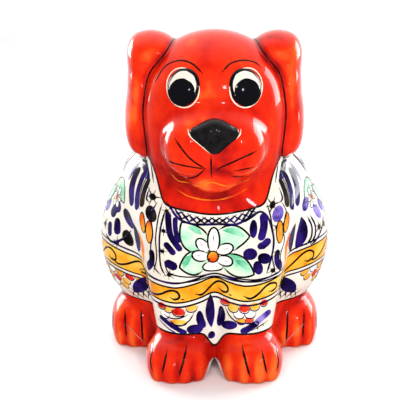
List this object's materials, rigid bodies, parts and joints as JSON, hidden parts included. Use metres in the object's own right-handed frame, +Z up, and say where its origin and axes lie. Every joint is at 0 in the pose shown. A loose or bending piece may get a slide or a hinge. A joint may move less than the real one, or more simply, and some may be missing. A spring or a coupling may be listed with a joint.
{
  "type": "figural coin bank",
  "caption": "Seated hound coin bank in glazed earthenware: red head, ears and paws, painted floral coat, coin slot at the upper back, rubber stopper in the foot.",
  "frame": {"origin": "middle of the whole figure's outline, on the surface it stands on", "axes": "+Z up; the hound looks along -Y; +X is the hound's left"},
  "size_m": [0.1528, 0.1496, 0.216],
  "materials": {
    "painted_glaze": "cream glaze with hand-painted folk pattern, glossy",
    "red_glaze": "deep orange-red transparent glaze, very glossy",
    "black_glaze": "black glaze, very glossy",
    "bare_clay": "bare terracotta, matt",
    "black_rubber": "moulded rubber, matt"
  },
  "bodies": {
    "bank": {"torso": "painted_glaze", "head": "red_glaze", "foot_slab": "bare_clay", "nose": "black_glaze", "tail": "red_glaze", "ear_left": "red_glaze", "ear_right": "red_glaze", "eye_left": "black_glaze", "eye_right": "black_glaze", "front_paw_left": "red_glaze", "front_paw_right": "red_glaze", "hind_paw_left": "red_glaze", "hind_paw_right": "red_glaze"},
    "stopper": {"rubber_stopper": "black_rubber"}
  },
  "joints": [
    {"name": "stopper_pull", "type": "slide", "parent": "bank", "child": "stopper", "axis": [0, 0, -1], "range_m": [0, 0.03]}
  ]
}
